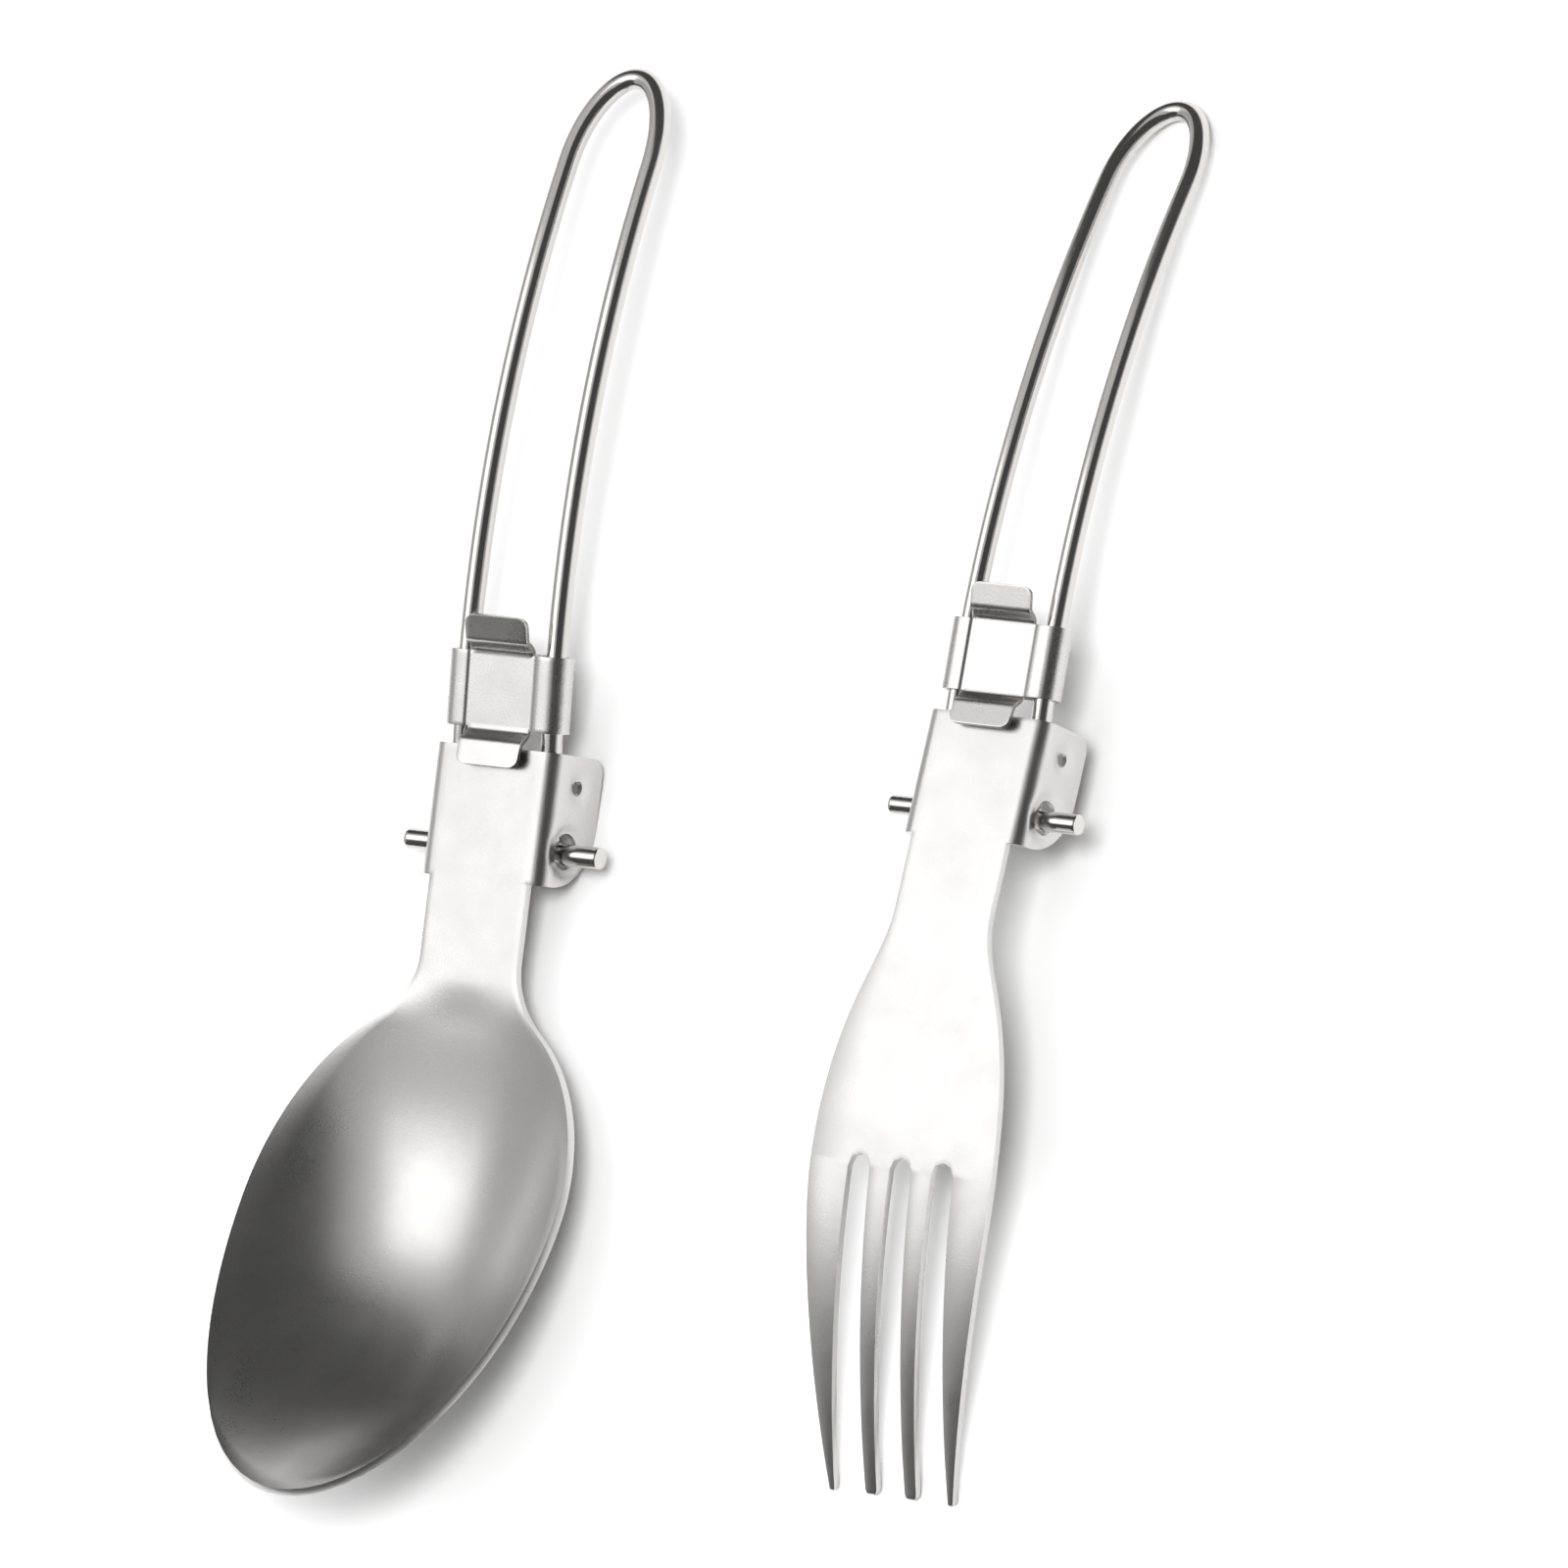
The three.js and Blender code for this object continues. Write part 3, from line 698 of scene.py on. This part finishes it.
def sleeve_section(spread_x):
    """Outer and inner points of the sleeve's section, from one side of the back seam round to the other."""
    inner = WIRE / 2 + LOCK_GAP
    outer = inner + LOCK_SHEET
    seam = LOCK_SEAM / 2
    step = PANEL_HALF - PANEL_DEPTH
    line = []
    for x in spread(seam, spread_x, 8):
        line.append(((x, -outer), (x, -inner)))
    for a in spread(-math.pi / 2, math.pi / 2, 14)[1:]:
        c, s = math.cos(a), math.sin(a)
        line.append(((spread_x + outer * c, outer * s), (spread_x + inner * c, inner * s)))
    for t in spread(0, 1, 2)[1:]:
        x = mix(spread_x, PANEL_HALF + 0.12, t)
        line.append(((x, outer), (x, inner)))
    for t in spread(0, 1, 3)[1:]:
        x = mix(PANEL_HALF + 0.12, step - 0.08, t)
        drop = PANEL_DEPTH * smooth_step(t)
        line.append(((x, outer - drop), (x, inner - drop)))
    panel = spread(TONGUE_HALF, -TONGUE_HALF, 14)
    for x in panel:
        line.append(((x, outer - PANEL_DEPTH), (x, inner - PANEL_DEPTH)))
    mirrored = [((-o[0], o[1]), (-i[0], i[1])) for o, i in reversed(line[: -len(panel)])]
    return line + mirrored, len(line) - len(panel)


def lock_sheet(spread_x):
    sheet = Sheet()
    section, first_panel = sleeve_section(spread_x)
    half = LOCK_LENGTH / 2
    panel_count = 15
    rows = []
    for y in spread(half, -half, 18):
        rows.append([sheet.point((o[0], y, o[1]), (i[0], y, i[1])) for o, i in section])
    sheet.grid([list(reversed(r)) for r in rows])
    panel = slice(first_panel, first_panel + panel_count)
    for end, row in ((1, rows[0]), (-1, rows[-1])):
        root = list(reversed(row[panel]))
        lines = [root] + tongue_lines(sheet, root, end * half, end)
        if end > 0:
            lines = list(reversed(lines))
        sheet.grid(lines)
    return sheet


def tongue_lines(sheet, root, start_y, end):
    """Lines of points of a tongue that leaves the sleeve at start_y: it rises to the front and flares."""
    columns = len(root) - 1
    base = WIRE / 2 + LOCK_GAP + LOCK_SHEET - PANEL_DEPTH

    def height(s):
        rise = TONGUE_RISE * smooth_step(s / TONGUE_RISE_LENGTH)
        return base + rise + TONGUE_FLARE * max(s - TONGUE_RISE_LENGTH / 2, 0.0)

    def place(x, s):
        step = 0.02
        slope = (height(s + step) - height(max(s - step, 0.0))) / (step + min(step, s))
        front = Vector((x, start_y + end * s, height(s)))
        back = front - Vector((0, -end * slope, 1)).normalized() * LOCK_SHEET
        return sheet.point(front, back)

    lines = []
    straight = TONGUE_LENGTH - TONGUE_CORNER
    for s in spread(0, straight, 14)[1:]:
        lines.append([place(mix(-TONGUE_HALF, TONGUE_HALF, j / columns), s) for j in range(columns + 1)])
    for v in spread(0, 1, 5)[1:]:
        line = []
        for j in range(columns + 1):
            x = mix(-TONGUE_HALF, TONGUE_HALF, j / columns)
            into = max(abs(x) - (TONGUE_HALF - TONGUE_CORNER), 0.0) / TONGUE_CORNER
            push = math.sqrt(max(1 - v * v / 2, 0.0))
            x = math.copysign(min(abs(x), TONGUE_HALF - TONGUE_CORNER) + TONGUE_CORNER * into * push, x)
            line.append(place(x, straight + TONGUE_CORNER * v * math.sqrt(1 - into * into / 2)))
        lines.append(line)
    return lines


# ---------------------------------------------------------------- materials


def node_tree(name):
    material = bpy.data.materials.new(name)
    material.use_nodes = True
    nodes = material.node_tree.nodes
    return material, nodes, material.node_tree.links, nodes["Principled BSDF"]


def steel(name, colour, roughness, blast, scratches, drawn=0.0):
    """Stainless steel with a fine blasted grain, faint scratches and slightly uneven gloss."""
    material, nodes, links, shader = node_tree(name)
    shader.inputs["Metallic"].default_value = 1.0
    place = nodes.new("ShaderNodeTexCoord").outputs["Object"]

    def fresh_noise(scale, detail, stretch=(1, 1, 1), turn=(0, 0, 0)):
        mapping = nodes.new("ShaderNodeMapping")
        mapping.inputs["Scale"].default_value = stretch
        mapping.inputs["Rotation"].default_value = turn
        texture = nodes.new("ShaderNodeTexNoise")
        texture.inputs["Scale"].default_value = scale
        texture.inputs["Detail"].default_value = detail
        links.new(place, mapping.inputs["Vector"])
        links.new(mapping.outputs["Vector"], texture.inputs["Vector"])
        return texture.outputs["Fac"]

    def ramp(value, low, high, out_low, out_high):
        node = nodes.new("ShaderNodeMapRange")
        node.inputs["From Min"].default_value = low
        node.inputs["From Max"].default_value = high
        node.inputs["To Min"].default_value = out_low
        node.inputs["To Max"].default_value = out_high
        links.new(value, node.inputs["Value"])
        return node.outputs["Result"]

    def math_node(operation, a, b):
        node = nodes.new("ShaderNodeMath")
        node.operation = operation
        for socket, value in zip(node.inputs, (a, b)):
            if isinstance(value, float):
                socket.default_value = value
            else:
                links.new(value, socket)
        return node.outputs["Value"]

    grain = fresh_noise(5200, 3)
    cloud = fresh_noise(90, 4)
    smudge = fresh_noise(260, 3)
    total = None
    for i in range(scratches):
        turn = (0, 0, 0.9 + 1.3 * i)
        lines = ramp(fresh_noise(420, 1, (1, 26, 1), turn), 0.79, 0.84, 0.0, 1.0)
        total = lines if total is None else math_node("MAXIMUM", total, lines)

    uneven = ramp(cloud, 0.3, 0.7, roughness - 0.03, roughness + 0.03)
    gloss = math_node("ADD", uneven, ramp(grain, 0.2, 0.8, -0.04, 0.05))
    gloss = math_node("ADD", gloss, ramp(smudge, 0.35, 0.7, -0.012, 0.02))
    if total is not None:
        gloss = math_node("SUBTRACT", gloss, math_node("MULTIPLY", total, 0.07))
    links.new(gloss, shader.inputs["Roughness"])

    tint = nodes.new("ShaderNodeMix")
    tint.data_type = "RGBA"
    tint.inputs["A"].default_value = tuple(c * 0.93 for c in colour) + (1.0,)
    tint.inputs["B"].default_value = tuple(min(c * 1.04, 1.0) for c in colour) + (1.0,)
    speckle = math_node("ADD", math_node("MULTIPLY", grain, 0.6), math_node("MULTIPLY", cloud, 0.4))
    links.new(ramp(speckle, 0.3, 0.7, 0.0, 1.0), tint.inputs["Factor"])
    links.new(tint.outputs["Result"], shader.inputs["Base Color"])

    height = math_node("MULTIPLY", grain, blast)
    if drawn:
        height = math_node("ADD", height, math_node("MULTIPLY", fresh_noise(900, 2, (1, 0.03, 1)), drawn))
    if total is not None:
        height = math_node("SUBTRACT", height, math_node("MULTIPLY", total, 0.25))
    bump = nodes.new("ShaderNodeBump")
    bump.inputs["Strength"].default_value = 0.35
    bump.inputs["Distance"].default_value = 0.02 * MM
    links.new(height, bump.inputs["Height"])
    links.new(bump.outputs["Normal"], shader.inputs["Normal"])
    return material


def plain(name, colour, roughness):
    material, nodes, links, shader = node_tree(name)
    shader.inputs["Base Color"].default_value = (*colour, 1.0)
    shader.inputs["Roughness"].default_value = roughness
    return material


# ---------------------------------------------------------------- pieces

HEAD_STEEL = steel("satin_head_steel", (0.60, 0.592, 0.582), 0.31, 1.0, 2)
LOCK_STEEL = steel("satin_lock_steel", (0.60, 0.59, 0.58), 0.28, 0.8, 1)
WIRE_STEEL = steel("polished_wire_steel", (0.62, 0.605, 0.585), 0.15, 0.15, 1, 0.3)


def build_utensil(name, head):
    matrix = utensil_matrix(name)
    wire = wire_mesh(f"{name}_wire", matrix)
    make_object(f"{name}_wire", f"{name}_handle", wire, WIRE_STEEL)
    top_mesh = head().mesh(f"{name}_top", matrix)
    top = make_object(f"{name}_top", f"{name}_head", top_mesh, HEAD_STEEL)
    round_edges(top, HEAD_EDGE_ROUNDING)
    along = LOCK_AT[name]
    spread_x = mix(LEG_SPREAD, LEG_SPREAD_TOP, (along - PIN_BEND) / (LOOP_START - PIN_BEND))
    tilt = Matrix.Rotation((ARCH_CREST - along) / ARCH_RADIUS, 4, "X")
    seat = matrix @ Matrix.Translation(arch_point(0, along)) @ tilt
    sleeve = lock_sheet(spread_x).mesh(f"{name}_sleeve", seat)
    lock = make_object(f"{name}_sleeve", f"{name}_lock", sleeve, LOCK_STEEL)
    round_edges(lock, LOCK_EDGE_ROUNDING)


build_utensil("spoon", spoon_sheet)
build_utensil("fork", fork_sheet)

# ---------------------------------------------------------------- studio

# Metres and degrees.

CAMERA_AIM = Vector((0.00777, 0.00261, 0.006))
CAMERA_DISTANCE = 1.9594
CAMERA_AZIMUTH = 77.02
CAMERA_ELEVATION = 52.78
CAMERA_ROLL = 67.84
CAMERA_LENS = 450.0
FLOOR_REACH = 3.0
FLOOR_GAP = 0.0001


def add_camera():
    camera = bpy.data.objects.new("camera", bpy.data.cameras.new("camera"))
    azimuth, elevation = math.radians(CAMERA_AZIMUTH), math.radians(CAMERA_ELEVATION)
    level_reach = math.cos(elevation)
    back_x, back_y = math.sin(azimuth) * level_reach, -math.cos(azimuth) * level_reach
    back = Vector((back_x, back_y, math.sin(elevation)))
    camera.location = CAMERA_AIM + back * CAMERA_DISTANCE
    level = (-back).to_track_quat("-Z", "Y").to_matrix().to_4x4()
    camera.rotation_euler = (level @ Matrix.Rotation(-math.radians(CAMERA_ROLL), 4, "Z")).to_euler()
    camera.data.lens = CAMERA_LENS
    camera.data.sensor_width = 36.0
    camera.data.clip_start = 0.1
    camera.data.clip_end = 20.0
    bpy.context.scene.collection.objects.link(camera)
    bpy.context.scene.camera = camera


def softbox(name, direction, distance, wide, high, radiance, seen_in_metal=True):
    """A rectangular panel of light that faces the pieces; its width runs along the row."""
    data = bpy.data.lights.new(name, "AREA")
    data.shape = "RECTANGLE"
    data.size = wide
    data.size_y = high
    data.energy = radiance * math.pi * wide * high
    lamp = bpy.data.objects.new(name, data)
    back = Vector(direction).normalized()
    across = (Vector((0, 1, 0)) - back * back.y).normalized()
    turn = Matrix((across, back.cross(across), back)).transposed().to_4x4()
    lamp.matrix_world = Matrix.Translation(back * distance) @ turn
    lamp.visible_glossy = seen_in_metal
    bpy.context.scene.collection.objects.link(lamp)


def add_floor():
    mesh = bpy.data.meshes.new("floor")
    reach = FLOOR_REACH
    corners = [(-reach, -reach, 0), (reach, -reach, 0), (reach, reach, 0), (-reach, reach, 0)]
    mesh.from_pydata(corners, [], [(0, 1, 2, 3)])
    mesh.materials.append(plain("pale_floor", (0.9, 0.9, 0.9), 0.9))
    floor = bpy.data.objects.new("floor", mesh)
    floor.location.z = -FLOOR_GAP
    bpy.context.scene.collection.objects.link(floor)


def add_world():
    world = bpy.data.worlds.new("studio")
    world.use_nodes = True
    background = world.node_tree.nodes["Background"]
    background.inputs["Color"].default_value = (1, 1, 1, 1)
    background.inputs["Strength"].default_value = 0.08
    bpy.context.scene.world = world


add_camera()
add_floor()
add_world()
softbox("main_softbox", (-0.45, 0.03, 0.89), 1.2, 0.74, 0.8, 1.45)
softbox("wide_softbox", (-0.34, 0.1, 0.94), 1.4, 1.55, 1.8, 0.6)
softbox("side_panel", (-0.93, 0.0, 0.33), 1.8, 2.6, 1.3, 0.45)
softbox("low_panel", (0.98, 0.0, 0.12), 1.8, 2.6, 0.4, 0.4)
softbox("floor_key", (0.463, -0.027, 0.907), 1.5, 0.4, 0.4, 32.0, False)
softbox("floor_fill", (0.0, 0.0, 1.0), 1.5, 2.4, 2.4, 1.0, False)
bpy.context.scene.view_settings.view_transform = "Standard"
